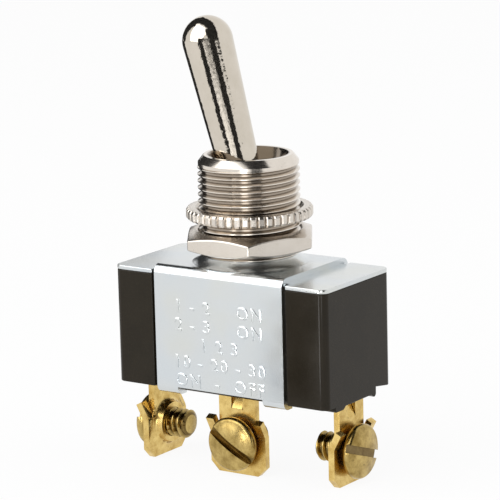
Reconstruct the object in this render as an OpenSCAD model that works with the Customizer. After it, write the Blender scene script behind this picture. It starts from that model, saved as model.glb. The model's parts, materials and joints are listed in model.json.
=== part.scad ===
/* [Panel] */
// Room left between the two nuts for the panel
panel_gap = 1.23; // [0.8:0.01:4]
// Lift of the hex nut above the hub of the mounting frame
nut_lift = 0.35; // [0.1:0.05:1]

/* [Bushing] */
// Major diameter of the bushing thread
thread_d = 11.86; // [11:0.02:14.6]
// Depth of the thread below its crest
thread_depth = 0.43; // [0.3:0.01:0.7]
// Height of the bushing above the hub
bushing_h = 11.56; // [9:0.02:16]
// Clearance round the leaning lever in the bushing's mouth
mouth_clear = 0.2; // [0.1:0.01:0.5]
// Clearance round the leaning lever in the throat over its ball
throat_clear = 0.37; // [0.2:0.01:0.5]
// Width of the chamfer round the rim, in radius
rim_chamfer = 0.75; // [0.3:0.05:0.8]
// Height of the chamfer round the rim
rim_chamfer_h = 0.9; // [0.4:0.05:1.4]
// Diameter of the spigot that passes the hub
spigot_d = 10.2; // [9.8:0.05:10.6]
// Diameter of the rolled flange under the hub
flange_d = 11.3; // [11:0.05:12]
// Thickness of the rolled flange
flange_t = 0.5; // [0.3:0.05:0.6]

/* [Lever] */
// Height of the lever's pivot above the hub
pivot_h = 5.16; // [4.5:0.02:6]
// Lean of the lever to either side
lever_lean = 15.4; // [10:0.1:19]
// Length from the pivot to the tip
lever_reach = 22.84; // [16:0.02:32]
// Radius of the rounded tip
tip_r = 2.97; // [2.5:0.01:3.6]
// Radius of the lever just above its ball
neck_r = 2.37; // [2:0.01:2.5]
// Radius of the ball in the bushing
ball_r = 3.9; // [3.6:0.05:4]
// Play round the ball
ball_play = 0.12; // [0.05:0.01:0.2]
// Radius of the tail below the ball
tail_r = 2; // [1.7:0.05:2.1]
// Clearance round the leaning tail
tail_clear = 0.2; // [0.1:0.01:0.4]
// Diameter of the pivot pin
pin_d = 1.6; // [1.2:0.05:1.8]
// Running play between pin and groove
pin_play = 0.06; // [0.02:0.01:0.1]

/* [Plunger] */
// Radius of the plunger and of its round tip
plunger_r = 1.2; // [1:0.05:1.3]
// Running play of the plunger in the tail
plunger_play = 0.06; // [0.02:0.01:0.1]
// Length from the tail's end to the centre of the plunger's round tip
plunger_out = 2.2; // [1.6:0.05:3]
// Distance from the pivot to the top of the tail's bore
bore_top = 2.2; // [1.8:0.05:3]
// Share of the bore that the plunger fills, the rest being the spring's
grip_share = 0.54; // [0.45:0.01:0.6]
// Wire diameter of the spring
spring_wire = 0.3; // [0.2:0.02:0.4]
// Number of turns of the spring
spring_turns = 7; // [5:1:9]

/* [Nuts] */
// Width across the flats of the hex nut
hex_af = 14.29; // [13.6:0.01:17]
// Height of the hex nut
hex_nut_h = 2.5; // [2:0.05:4]
// Radius at which the hex nut's chamfers start
hex_face_r = 6.9; // [6.6:0.05:7.1]
// Turn of the hex nut on the bushing
hex_turn = 2.6; // [0:0.2:60]
// Outer diameter of the knurled nut
knurled_d = 14.78; // [14:0.02:18]
// Height of the knurled nut
knurled_nut_h = 1.34; // [1:0.02:3]
// Number of ridges round the knurled nut
ridges = 48; // [36:1:60]
// Depth of the grooves between the ridges
ridge_depth = 0.3; // [0.15:0.01:0.4]
// Running play between a nut and the thread's root
nut_play = 0.05; // [0.02:0.01:0.1]

/* [Mounting frame] */
// Length of the frame along the case
frame_l = 17.75; // [16.6:0.05:20]
// Sheet thickness of the frame
frame_t = 0.65; // [0.5:0.01:0.8]
// Outer radius of the frame's two long bends
frame_bend_r = 1.1; // [0.9:0.05:1.4]
// Proud height of the frame over the case's sides
frame_proud = 0.08; // [0.02:0.01:0.3]
// Height of the drawn hub
hub_h = 1.1; // [1:0.02:1.6]
// Radius of the hub where it leaves the flat
hub_base_r = 6.7; // [6.5:0.05:6.9]
// Radius of the hub at its top
hub_top_r = 6.15; // [6.05:0.05:6.3]
// Width of each clinched tab
tab_w = 2.95; // [2:0.05:4]
// Reach of each tab under the case
tab_reach = 1.1; // [0.6:0.05:1.2]
// Inner radius of the tabs' bends
tab_bend_r = 0.3; // [0.2:0.05:0.5]

/* [Cover plate] */
// Overhang of the plate past the case's ends
plate_over = 0.075; // [0:0.005:0.3]
// Thickness of the plate
plate_t = 0.5; // [0.4:0.02:0.8]
// Corner radius of the plate
plate_corner_r = 1; // [0.5:0.05:1.5]

/* [Case] */
// Length of the case
case_l = 29.2; // [24:0.05:36]
// Width of the case at its ends
case_w = 13.9; // [13.6:0.05:16]
// Height of the case from its top to its lower edge
case_h = 13.55; // [11:0.05:17]
// Radius of the case's upright corners
case_corner_r = 0.86; // [0.4:0.02:1.5]
// Depth of the foot pad below the lower edge
pad_h = 0.62; // [0.4:0.02:1]
// Width of the foot pad
pad_w = 8.8; // [8:0.05:9]
// Offset of the foot pad towards the front
pad_shift = 0.7; // [0.4:0.05:0.9]
// Chamfer along the foot pad's lower edges
pad_chamfer = 0.25; // [0.1:0.05:0.4]
// Depth of the notch round each end terminal
notch_depth = 0.35; // [0.2:0.05:0.6]
// Rise of the underside from the end blocks' edges to the foot pad
under_rise = 0.49; // [0.2:0.01:0.6]
// Thickness of the floor, pad included
floor_t = 2.42; // [2:0.02:3]
// Width of the hollow inside
cavity_w = 10.2; // [9.6:0.05:10.6]
// Gap between the frame's edges and the steps in the case
step_gap = 0.4; // [0.1:0.05:0.8]
// Thickness of the fibre insulator under the plate
insulator_t = 0.55; // [0.4:0.05:0.8]
// Width of the ledge that the insulator lies on
ledge_w = 0.5; // [0.3:0.05:0.6]

/* [Terminals] */
// Thickness of the terminal strip
terminal_t = 0.8; // [0.6:0.02:1]
// Width of the terminal strip
strip_w = 5.1; // [4.6:0.05:5.4]
// Width of the plate under the screw head
clamp_w = 7.7; // [7:0.05:9]
// Drop of the screw's axis below the foot pad
screw_drop = 5.68; // [5.2:0.02:8]
// Length of the plate below the screw's axis
clamp_below = 3.87; // [3.6:0.01:5]
// Chamfer of the plate's lower corners
clamp_chamfer = 1.1; // [0.6:0.05:1.6]
// Height of the ears' roots above the screw's axis
ear_root = 0.95; // [0.6:0.05:1.4]
// Length of each ear
ear_l = 2.1; // [1.4:0.05:2.6]
// Lean of the ears towards the screw head
ear_lean = 28; // [0:1:45]
// Slit between each ear and the strip
ear_slit = 0.25; // [0.15:0.05:0.4]
// Inset of the end terminals' outer faces from the case's ends
end_inset = 1.1; // [1:0.05:2]
// Distance of the centre terminal's outer face from the bushing's axis
centre_face_y = 3.6; // [3.4:0.05:3.7]
// Length of the drawn and tapped collar behind the plate
collar_l = 0.9; // [0.5:0.05:1.5]
// Width of the lanced tongue that locks a terminal under the case
lance_w = 1.4; // [1:0.05:2]
// Length of the lanced tongue
lance_l = 1.75; // [1.4:0.05:2]
// Lean of the lanced tongue behind the strip
lance_lean = 24; // [20:1:35]
// Slit round the lanced tongue
lance_slit = 0.1; // [0.05:0.01:0.2]

/* [Screws] */
// Thread diameter of the terminal screws
screw_d = 3.48; // [3:0.02:4]
// Running play between a screw and its collar
screw_play = 0.04; // [0.02:0.01:0.1]
// Length of the screw below its head
screw_l = 4.7; // [4.2:0.1:8]
// Diameter of the screw head
head_d = 6.46; // [5.6:0.02:7]
// Diameter of the flat on the screw head
head_flat_d = 5.4; // [4.4:0.02:5.6]
// Height of the screw head
head_h = 1.7; // [1.4:0.05:2.2]
// Gap between head and plate as the screw is left
head_gap = 0.38; // [0.1:0.02:1.5]
// Width of the slot
slot_w = 0.95; // [0.6:0.05:1.2]
// Depth of the slot
slot_depth = 1; // [0.5:0.05:1.2]
// Turns of the three slots from level: left, centre, right
slot_turns = [25, -31, -19]; // [-90:1:90]

/* [Contacts] */
// Distance of the contacts from the pivot of the rocker
contact_x = 8.6; // [8:0.05:9.5]
// Radius of a contact's head
contact_r = 1.6; // [1.2:0.05:1.9]
// Height of a fixed contact's head
fixed_head = 0.6; // [0.4:0.05:0.8]
// Height of a moving contact's head
moving_head = 0.5; // [0.4:0.05:0.8]
// Radius of the contacts' shanks
shank_r = 0.8; // [0.6:0.05:1]
// Gap left between closed contacts
contact_gap = 0.06; // [0.02:0.01:0.2]
// Lean of the rocker to either side
rocker_lean = 8.5; // [6:0.1:10]
// Thickness of the rocker's sheet
rocker_t = 0.7; // [0.5:0.05:0.8]
// Width of the rocker's arms
rocker_w = 4.4; // [3.8:0.05:4.8]
// Distance from the rocker's pivot to the bends of its arms
knee_x = 6.6; // [6:0.05:6.9]
// Height of the dish's surface over the rocker's pivot
dish_lift = 1.5; // [1.4:0.05:1.8]
// Gap between the plunger's tip and the dish
dish_gap = 0.1; // [0.05:0.01:0.2]
// Radius of the round tongues that the rocker turns on
tongue_r = 0.7; // [0.5:0.02:0.8]
// Running play between tongue and notch
tongue_play = 0.07; // [0.02:0.01:0.1]
// Sheet thickness of the saddle that carries the rocker
saddle_t = 0.7; // [0.5:0.05:0.8]

/* [Hidden] */
$fa = 4;
$fs = 0.2;
cut = 0.01;
over = 1;
through = 40;

fit = 0.05;
thread_r = thread_d / 2;
root_r = thread_r - thread_depth;
nut_bore_r = root_r + nut_play;
seat_z = -hex_nut_h - nut_lift;
frame_top = seat_z - hub_h;
plate_top = frame_top - frame_t;
case_top = plate_top - plate_t;
case_low = case_top - case_h;
pad_low = case_low - pad_h;
floor_z = pad_low + floor_t;
foot_top = floor_z + terminal_t;
screw_z = pad_low - screw_drop;
bushing_top = seat_z + bushing_h;
pivot_z = seat_z + pivot_h;

frame_w = case_w + 2 * frame_proud;
side_y = frame_w / 2 - frame_t;
step_x = frame_l / 2 + step_gap;
end_face_x = case_l / 2 - end_inset;
cavity_l = 2 * (end_face_x + fit);
cavity_corner_r = 0.5;
ledge_corner_r = 0.8;

flange_low = seat_z - frame_t - flange_t;
socket_r = ball_r + ball_play;
neck_start = sqrt(pow(ball_r, 2) - pow(neck_r, 2));
throat_h = 2.45;
throat_r = lean_room(throat_h, neck_r) + throat_clear;
mouth_r = lean_room(bushing_top - pivot_z, lever_r((bushing_top - pivot_z) / cos(lever_lean))) + mouth_clear;
rim_lip = 0.3;
rim_w = min(rim_chamfer, thread_r - mouth_r - rim_lip);
tail_bore_r = max(socket_r, lean_room(pivot_z - flange_low, tail_r) + tail_clear);
groove_r = pin_d / 2 + pin_play;
pin_past = 0.75;
groove_reach = ball_r + pin_past;
pin_l = 2 * (groove_reach - 2 * fit);
bore_r = plunger_r + plunger_play;

rocker_z = foot_top + fixed_head + contact_gap + moving_head + rocker_t;
tip_reach = pivot_z - (rocker_z + dish_lift + dish_gap) - plunger_r;
tail_reach = tip_reach - plunger_out;
plunger_grip = grip_share * (tail_reach - bore_top);
lift = pivot_z - rocker_z;
dish_end = turned([tip_reach * sin(lever_lean), lift - tip_reach * cos(lever_lean)], rocker_lean);
dish_rise = dish_end[1] - (lift - tip_reach);
swing_r = (pow(dish_end[0], 2) + pow(dish_rise, 2)) / (2 * dish_rise);
dish_r = swing_r + plunger_r + dish_gap;
dish_mid_r = dish_r + rocker_t / 2;
dish_centre = dish_lift + dish_r;
dish_over = 4;
dish_angle = asin(dish_end[0] / swing_r) + dish_over;
arm_end = contact_x + contact_r + fit;
ear_t = 0.6;
ear_y = centre_face_y - 2 * fit;
ear_angle = 16;
rivet_hole_r = shank_r + 2 * cut;
end_foot_l = end_face_x - contact_x + contact_r + 2 * fit;
centre_foot_l = 2 * centre_face_y - ear_t;

// A point of the XZ plane turned by an angle, counter-clockwise seen from the front
function turned(p, angle) =
    [p[0] * cos(angle) - p[1] * sin(angle), p[0] * sin(angle) + p[1] * cos(angle)];

// Half the width that a leaning bar of radius r takes up at height h from the pivot
function lean_room(h, r) = h * tan(lever_lean) + r / cos(lever_lean);

// Radius of the lever at a distance from its pivot
function lever_r(reach) =
    neck_r + (tip_r - neck_r) * (reach - neck_start) / (lever_reach - tip_r - neck_start);

function unit(v) = v / norm(v);
function left_of(v) = [-v[1], v[0]];
function backwards(list) = [for (i = [len(list) - 1:-1:0]) list[i]];
function mirrored(list) = [for (p = list) [-p[0], p[1]]];

// The arc that rounds corner b between a and c, from its first to its last point
function corner_arc(a, b, c, r, steps = 6) =
    let (
        u = unit(a - b),
        v = unit(c - b),
        half = acos(u * v) / 2,
        m = b + unit(u + v) * r / sin(half),
        first = b + u * r / tan(half) - m,
        last = b + v * r / tan(half) - m,
        sweep = 180 - 2 * half
    )
    [for (k = [0:steps])
        m + (sin(sweep * (1 - k / steps)) * first + sin(sweep * k / steps) * last) / sin(sweep)];

// The middle line of a bent sheet: its corners, each rounded to radius r
function bent(p, r) =
    [for (i = [0:len(p) - 1])
        each (i == 0 || i == len(p) - 1) ? [p[i]] : corner_arc(p[i - 1], p[i], p[i + 1], r)];

// The middle line moved sideways by d
function beside(p, d) =
    [for (i = [0:len(p) - 1])
        let (
            before = left_of(unit(p[max(i, 1)] - p[max(i, 1) - 1])),
            after = left_of(unit(p[min(i, len(p) - 2) + 1] - p[min(i, len(p) - 2)])),
            n = unit(before + after)
        )
        p[i] + n * d / (n * after)];

// The section of a sheet of thickness t that follows a middle line
module sheet(path, t) {
    polygon(concat(beside(path, t / 2), backwards(beside(path, -t / 2))));
}

// A section drawn in XZ, made w wide along Y
module along_y(w) {
    rotate([90, 0, 0]) linear_extrude(w, center = true) children();
}

// A section drawn in YZ, made w wide along X
module along_x(w) {
    rotate([90, 0, 90]) linear_extrude(w, center = true) children();
}

module rounded_plate(l, w, h, r) {
    linear_extrude(h) {
        square([l - 2 * r, w], center = true);
        square([l, w - 2 * r], center = true);
        for (x = [-1, 1], y = [-1, 1])
            translate([x * (l / 2 - r), y * (w / 2 - r)]) circle(r);
    }
}

module lean_with_lever() {
    translate([0, 0, pivot_z]) rotate([0, -lever_lean, 0]) children();
}

module lean_with_rocker() {
    translate([0, 0, rocker_z]) rotate([0, rocker_lean, 0]) children();
}

// The thread is drawn at its crest where it is free, and at its root where a nut engages it
module bushing() {
    color("silver")
    difference() {
        rotate_extrude()
            polygon(concat(
                [
                    [0, flange_low],
                    [flange_d / 2, flange_low],
                    [flange_d / 2, seat_z - frame_t],
                    [spigot_d / 2, seat_z - frame_t],
                    [spigot_d / 2, seat_z],
                    [thread_r, seat_z]
                ],
                engaged(-hex_nut_h, 0),
                engaged(panel_gap, panel_gap + knurled_nut_h),
                [
                    [thread_r, bushing_top - rim_chamfer_h],
                    [thread_r - rim_w, bushing_top],
                    [0, bushing_top]
                ]
            ));
        translate([0, 0, pivot_z - through]) cylinder(r = tail_bore_r, h = through);
        translate([0, 0, pivot_z]) sphere(socket_r);
        translate([0, 0, pivot_z]) cylinder(r = throat_r, h = throat_h + cut);
        translate([0, 0, pivot_z + throat_h])
            cylinder(r1 = throat_r, r2 = mouth_r, h = bushing_top - pivot_z - throat_h);
        pin_grooves();
    }
}

function engaged(low, high) = [
    [thread_r, low - nut_play], [root_r, low - nut_play],
    [root_r, high + nut_play], [thread_r, high + nut_play]
];

module pin_grooves() {
    translate([0, 0, pivot_z]) rotate([90, 0, 0])
        cylinder(r = groove_r, h = 2 * groove_reach, center = true);
    translate([0, 0, pivot_z - through / 2])
        cube([2 * groove_r, 2 * groove_reach, through], center = true);
}

// The bat handle, ball and tail, turned from one bar
module lever() {
    tip_centre = lever_reach - tip_r;
    sunk = 0.2;
    color("gainsboro")
    lean_with_lever() difference() {
        union() {
            sphere(ball_r);
            translate([0, 0, neck_start - sunk])
                cylinder(r1 = neck_r, r2 = tip_r, h = tip_centre - neck_start + sunk);
            translate([0, 0, tip_centre]) sphere(tip_r);
            translate([0, 0, -tail_reach]) cylinder(r = tail_r, h = tail_reach);
        }
        rotate([90, 0, 0]) cylinder(d = pin_d, h = through, center = true);
        translate([0, 0, -tail_reach - cut]) cylinder(r = bore_r, h = tail_reach - bore_top + cut);
    }
}

module lever_pin() {
    color("dimgray")
    lean_with_lever() rotate([90, 0, 0]) cylinder(d = pin_d, h = pin_l, center = true);
}

module plunger() {
    color("ivory")
    lean_with_lever() {
        translate([0, 0, -tip_reach])
            cylinder(r = plunger_r, h = tip_reach - tail_reach + plunger_grip);
        translate([0, 0, -tip_reach]) sphere(plunger_r);
    }
}

// A coil swept round its helix, with closed ends
module plunger_spring() {
    sides = 8;
    steps = 14;
    coil_r = bore_r - spring_wire / 2 - fit;
    low = -tail_reach + plunger_grip + spring_wire / 2 + fit;
    high = -bore_top - spring_wire / 2 - fit;
    count = spring_turns * steps;
    ring = function (k)
        [for (s = [0:sides - 1])
            let (
                turn = 360 * k / steps,
                a = 360 * s / sides,
                r = coil_r + spring_wire / 2 * cos(a),
                z = low + (high - low) * k / count + spring_wire / 2 * sin(a)
            )
            [r * cos(turn), r * sin(turn), z]];
    points = [for (k = [0:count]) each ring(k)];
    walls = [for (k = [0:count - 1], s = [0:sides - 1])
        let (n = (s + 1) % sides)
        [k * sides + s, (k + 1) * sides + s, (k + 1) * sides + n, k * sides + n]];
    first_cap = [for (s = [0:sides - 1]) s];
    last_cap = [for (s = [sides - 1:-1:0]) count * sides + s];
    color("slategray")
    lean_with_lever() polyhedron(points, concat(walls, [first_cap, last_cap]));
}

module hex_nut() {
    corner_r = hex_af / 2 / cos(30);
    color("silver")
    translate([0, 0, -hex_nut_h]) difference() {
        intersection() {
            rotate([0, 0, hex_turn]) cylinder(r = corner_r, h = hex_nut_h, $fn = 6);
            rotate_extrude()
                polygon([
                    [0, 0], [hex_face_r, 0], [hex_face_r + hex_nut_h / 2 / tan(30), hex_nut_h / 2],
                    [hex_face_r, hex_nut_h], [0, hex_nut_h]
                ]);
        }
        translate([0, 0, -cut]) cylinder(r = nut_bore_r, h = hex_nut_h + 2 * cut);
    }
}

module knurled_nut() {
    r = knurled_d / 2;
    groove_share = 0.38;
    groove = groove_share * PI * knurled_d / ridges;
    bevel = 0.3;
    color("silver")
    translate([0, 0, panel_gap]) intersection() {
        linear_extrude(knurled_nut_h) difference() {
            circle(r);
            circle(nut_bore_r);
            for (k = [0:ridges - 1])
                rotate(360 * k / ridges)
                    translate([r + groove - ridge_depth, 0]) circle(groove, $fn = 16);
        }
        rotate_extrude()
            polygon([
                [0, 0], [r - bevel, 0], [r, bevel],
                [r, knurled_nut_h - bevel], [r - bevel, knurled_nut_h], [0, knurled_nut_h]
            ]);
    }
}

// The U-shaped frame: drawn hub, two long bends and four tabs clinched under the case
module mounting_frame() {
    leg_y = frame_w / 2 - frame_t / 2;
    mid_z = frame_top - frame_t / 2;
    bend_r = frame_bend_r - frame_t / 2;
    leg_short = 0.3;
    leg_low = case_low + leg_short;
    path = [[-leg_y, leg_low], [-leg_y, mid_z], [leg_y, mid_z], [leg_y, leg_low]];
    color("lightsteelblue")
    difference() {
        union() {
            along_x(frame_l) sheet(bent(path, bend_r), frame_t);
            frame_hub();
            for (x = [-1, 1], y = [-1, 1])
                translate([x * (frame_l - tab_w) / 2, 0, 0]) scale([1, y, 1]) frame_tab(leg_y);
        }
        hub_hollow();
        cylinder(d = spigot_d + 2 * fit, h = through, center = true);
    }
}

module frame_hub() {
    translate([0, 0, frame_top - cut])
        cylinder(r1 = hub_base_r, r2 = hub_top_r, h = hub_h + cut);
}

module hub_hollow() {
    wall = 0.4;
    translate([0, 0, frame_top - frame_t - cut])
        cylinder(r1 = hub_base_r - wall, r2 = hub_top_r - wall, h = hub_h + cut);
}

module frame_tab(leg_y) {
    root_h = 1;
    tab_z = case_low - frame_t / 2 - fit;
    bend_r = tab_bend_r + frame_t / 2;
    path = [[leg_y, case_low + root_h], [leg_y, tab_z], [side_y - tab_reach, tab_z]];
    along_x(tab_w) sheet(bent(path, bend_r), frame_t);
}

module cover_plate() {
    color("gainsboro")
    translate([0, 0, case_top]) difference() {
        rounded_plate(case_l + 2 * plate_over, case_w, plate_t, plate_corner_r);
        for (y = [-1, 1])
            translate([0, y * (side_y - frame_bend_r + frame_t + through / 2), 0])
                cube([2 * step_x, through, through], center = true);
        cylinder(r = tail_hole_r(case_top), h = through, center = true);
    }
}

// Radius that clears the leaning tail at a height
function tail_hole_r(z) = lean_room(pivot_z - z, tail_r) + 1.5 * tail_clear;

module insulator() {
    side_play = 0.7;
    rim = 2 * (ledge_w - fit);
    slot_l = 2 * tail_hole_r(case_top - insulator_t);
    color("sienna")
    translate([0, 0, case_top - insulator_t - fit]) difference() {
        rounded_plate(cavity_l + rim, cavity_w + rim, insulator_t, ledge_corner_r);
        translate([0, 0, -cut])
            rounded_plate(slot_l, 2 * (tail_r + side_play), insulator_t + 2 * cut, tail_r);
    }
}

module case() {
    color("#2b2622")
    difference() {
        union() {
            translate([0, 0, case_low])
                rounded_plate(case_l, case_w, case_h, case_corner_r);
            foot_pad();
        }
        for (turn = [0, 180]) rotate([0, 0, turn]) leg_recess();
        for (side = [-1, 1])
            translate([side * case_l / 2, 0, 0]) end_underside();
        translate([0, 0, floor_z])
            rounded_plate(cavity_l, cavity_w, through, cavity_corner_r);
        translate([0, 0, case_top - insulator_t - 2 * fit])
            rounded_plate(cavity_l + 2 * ledge_w, cavity_w + 2 * ledge_w, through, ledge_corner_r);
        for (turn = [90, -90])
            rotate([0, 0, turn]) translate([0, -end_face_x, 0]) terminal_slot();
        translate([0, -centre_face_y, 0]) terminal_slot();
        for (side = [-1, 1])
            translate([side * case_l / 2, 0, 0]) pad_notch();
    }
}

module foot_pad() {
    front = -pad_w / 2 - pad_shift;
    back = pad_w / 2 - pad_shift;
    along_x(case_l)
        polygon([
            [front, case_low + cut], [front, pad_low + pad_chamfer], [front + pad_chamfer, pad_low],
            [back - pad_chamfer, pad_low], [back, pad_low + pad_chamfer], [back, case_low + cut]
        ]);
}

// The hollow between the foot pad and the back edge of an end block
module end_underside() {
    back = pad_w / 2 - pad_shift;
    edge = case_w / 2;
    along_x(case_l - 2 * step_x)
        polygon([
            [back, case_low + under_rise], [back, case_low - over],
            [2 * edge - back, case_low - over], [2 * edge - back, case_low - under_rise]
        ]);
}

// The flat that a leg of the frame lies in, with a relief for the bends of its tabs
module leg_recess() {
    relief = tab_bend_r + fit;
    along_x(2 * step_x)
        polygon([
            [side_y, case_top + over], [side_y, case_low + relief], [side_y - relief, case_low],
            [side_y - relief, case_low - over], [case_w, case_low - over], [case_w, case_top + over]
        ]);
}

// Room for a terminal's leg and for the bend above it
module terminal_slot() {
    bend_room = 0.75 * terminal_t;
    along_x(strip_w + 2 * fit)
        polygon([
            [-fit, pad_low - over],
            [terminal_t + fit, pad_low - over],
            [terminal_t + fit, floor_z - bend_room],
            [terminal_t + bend_room, floor_z + cut],
            [-fit, floor_z + cut]
        ]);
}

// The bevelled notch that opens the pad's end round a terminal
module pad_notch() {
    clear = 0.25;
    slope = 0.5;
    half = strip_w / 2 + clear;
    top_z = pad_low + notch_depth;
    along_x(2 * (end_inset + terminal_t + clear))
        polygon([
            [-half - slope, pad_low - cut], [-half, top_z], [half, top_z], [half + slope, pad_low - cut]
        ]);
}

// A formed strip: a dish that the plunger rolls in, and an arm to each contact
module contact_rocker() {
    crest_reach = 0.5;
    bend_r = 0.5;
    ease = 5;
    root_y = 2;
    mid = -rocker_t / 2;
    crest = dish_point(dish_angle) + crest_reach * [cos(dish_angle), sin(dish_angle)];
    wing = [crest, turned([knee_x, mid], rocker_lean), turned([arm_end, mid], rocker_lean)];
    half_line = bent(concat([dish_point(dish_angle - 0.6 * ease)], wing), bend_r);
    dish = [for (a = [-dish_angle + ease:ease / 2:dish_angle - ease]) dish_point(a)];
    line = concat(mirrored(backwards(half_line)), dish, half_line);
    color("peru")
    lean_with_rocker() difference() {
        union() {
            along_y(rocker_w) sheet(line, rocker_t);
            for (y = [-1, 1]) {
                translate([0, y * (ear_y + root_y) / 2, 0]) along_y(ear_y - root_y) rocker_ear_root();
                translate([0, y * (ear_y - ear_t / 2), 0]) along_y(ear_t) rocker_ear();
            }
        }
        for (side = [-1, 1])
            rotate([0, -side * rocker_lean, 0])
                translate([side * contact_x, 0, 0])
                    cylinder(r = rivet_hole_r, h = 6 * rocker_t, center = true);
    }
}

function dish_point(a) = [dish_mid_r * sin(a), dish_centre - dish_mid_r * cos(a)];

module rocker_ear_root() {
    sheet([for (a = [-ear_angle:2:ear_angle]) dish_point(a)], rocker_t);
}

// An ear that straddles its tongue: round above the pivot, flared below
module rocker_ear() {
    half = 1.9;
    low = -tongue_r / 2;
    flare = 0.15;
    notch_r = tongue_r + tongue_play;
    difference() {
        polygon(concat(
            [[-half, low], [half, low]],
            [for (a = [ear_angle - 1:-5:1 - ear_angle]) dish_point(a)]
        ));
        circle(notch_r);
        polygon([[-notch_r, 0], [notch_r, 0], [notch_r + flare, low - cut], [-notch_r - flare, low - cut]]);
    }
}

module moving_contact(side) {
    upset = 0.3;
    color("silver")
    lean_with_rocker() rotate([0, -side * rocker_lean, 0])
        translate([side * contact_x, 0, 0]) {
            translate([0, 0, -rocker_t - moving_head]) cylinder(r = contact_r, h = moving_head);
            translate([0, 0, -rocker_t - cut]) cylinder(r = shank_r, h = rocker_t + cut);
            cylinder(r = shank_r + upset, h = upset);
        }
}

module fixed_contact(side) {
    color("silver")
    translate([side * contact_x, 0, 0]) {
        translate([0, 0, foot_top]) cylinder(r = contact_r, h = fixed_head);
        translate([0, 0, floor_z + 2 * cut]) cylinder(r = shank_r, h = terminal_t);
    }
}

// The U-shaped carrier with a round tongue on each wall
module rocker_saddle() {
    shoulder = 0.25;
    wall_top = rocker_z - tongue_r - shoulder;
    mid_y = ear_y - saddle_t / 2 + fit;
    mid_z = foot_top + saddle_t / 2;
    path = [[-mid_y, wall_top], [-mid_y, mid_z], [mid_y, mid_z], [mid_y, wall_top]];
    bend_r = saddle_t / 2 + 2 * fit;
    color("peru") {
        along_x(strip_w) sheet(bent(path, bend_r), saddle_t);
        for (y = [-1, 1])
            translate([0, y * mid_y, rocker_z]) {
                rotate([90, 0, 0]) cylinder(r = tongue_r, h = saddle_t, center = true);
                translate([0, 0, (wall_top - rocker_z) / 2])
                    cube([2 * tongue_r, saddle_t, rocker_z - wall_top + cut], center = true);
            }
    }
}

// A terminal with its outer face on y = 0 and its screw's axis through the origin
module terminal(foot_l, hole) {
    mid = terminal_t / 2;
    foot_z = floor_z + mid - screw_z;
    path = [[mid, 0], [mid, foot_z], [foot_l, foot_z]];
    color("goldenrod") {
        difference() {
            union() {
                along_x(strip_w) sheet(bent(path, terminal_t), terminal_t);
                translate([0, mid, 0]) along_y(terminal_t) clamp_outline();
                for (side = [-1, 1]) terminal_ear(side);
                terminal_collar();
            }
            rotate([90, 0, 0]) cylinder(r = screw_d / 2 + screw_play, h = through, center = true);
            lance_window();
            if (hole)
                translate([0, end_face_x - contact_x, 0]) cylinder(r = rivet_hole_r, h = through);
        }
        lanced_tongue();
    }
}

// The window that a lanced tongue leaves in the strip, up into the case
module lance_window() {
    w = lance_w + 2 * lance_slit;
    translate([-w / 2, -terminal_t, screw_drop - lance_l])
        cube([w, 3 * terminal_t, lance_l + notch_depth + lance_slit]);
}

// The tongue: rooted at the window's lower edge, it leans back and stops just under the case
module lanced_tongue() {
    mid = terminal_t / 2;
    root = [mid, screw_drop - lance_l];
    tip_z = screw_drop - mid * sin(lance_lean) - 2 * fit;
    tip = [mid + (tip_z - root[1]) * tan(lance_lean), tip_z];
    along_x(lance_w) sheet([root - [0, mid], root, tip], terminal_t);
}

// The collar drawn out of the plate's back
module terminal_collar() {
    r = screw_d / 2;
    base_w = 1.36;
    neck_w = 0.8;
    end_w = 0.65;
    end_y = terminal_t + collar_l;
    rotate([-90, 0, 0]) rotate_extrude()
        polygon([
            [0, terminal_t / 2], [r + base_w, terminal_t / 2], [r + base_w, terminal_t],
            [r + neck_w, terminal_t + collar_l / 3], [r + end_w, end_y], [0, end_y]
        ]);
}

module clamp_outline() {
    half = clamp_w / 2;
    polygon([
        [-half, ear_root], [-half, -clamp_below + clamp_chamfer], [-half + clamp_chamfer, -clamp_below],
        [half - clamp_chamfer, -clamp_below], [half, -clamp_below + clamp_chamfer], [half, ear_root]
    ]);
}

module terminal_ear(side) {
    ear_w = clamp_w / 2 - strip_w / 2 - ear_slit;
    bend_r = 0.9;
    grip = 0.6;
    mid = terminal_t / 2;
    tip = [mid - ear_l * sin(ear_lean), ear_root + ear_l * cos(ear_lean)];
    translate([side * (clamp_w / 2 - ear_w / 2), 0, 0])
        along_x(ear_w) sheet(bent([[mid, ear_root - grip], [mid, ear_root], tip], bend_r), terminal_t);
}

// A slotted binding-head screw on the same axis as its terminal
module screw(slot_turn) {
    top = -head_gap - head_h;
    bulge = 0.55 * head_h;
    under = 0.25;
    point_h = 0.5;
    point_w = 0.4;
    r = screw_d / 2;
    color("gold")
    difference() {
        rotate([-90, 0, 0]) rotate_extrude()
            polygon(concat(
                [[0, top], [head_flat_d / 2, top]],
                [for (a = [20:10:90])
                    [head_flat_d / 2 + (head_d - head_flat_d) / 2 * sin(a), top + bulge * (1 - cos(a))]],
                [
                    [head_d / 2, -head_gap - under], [head_d / 2 - under, -head_gap],
                    [r, -head_gap], [r, screw_l - head_gap - point_h], [r - point_w, screw_l - head_gap],
                    [0, screw_l - head_gap]
                ]
            ));
        rotate([0, -slot_turn, 0]) translate([0, top, 0])
            cube([2 * head_d, 2 * slot_depth, slot_w], center = true);
    }
}

module facing_left() {
    translate([-end_face_x, 0, screw_z]) rotate([0, 0, -90]) children();
}

module facing_front() {
    translate([0, -centre_face_y, screw_z]) children();
}

module facing_right() {
    translate([end_face_x, 0, screw_z]) rotate([0, 0, 90]) children();
}

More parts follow.
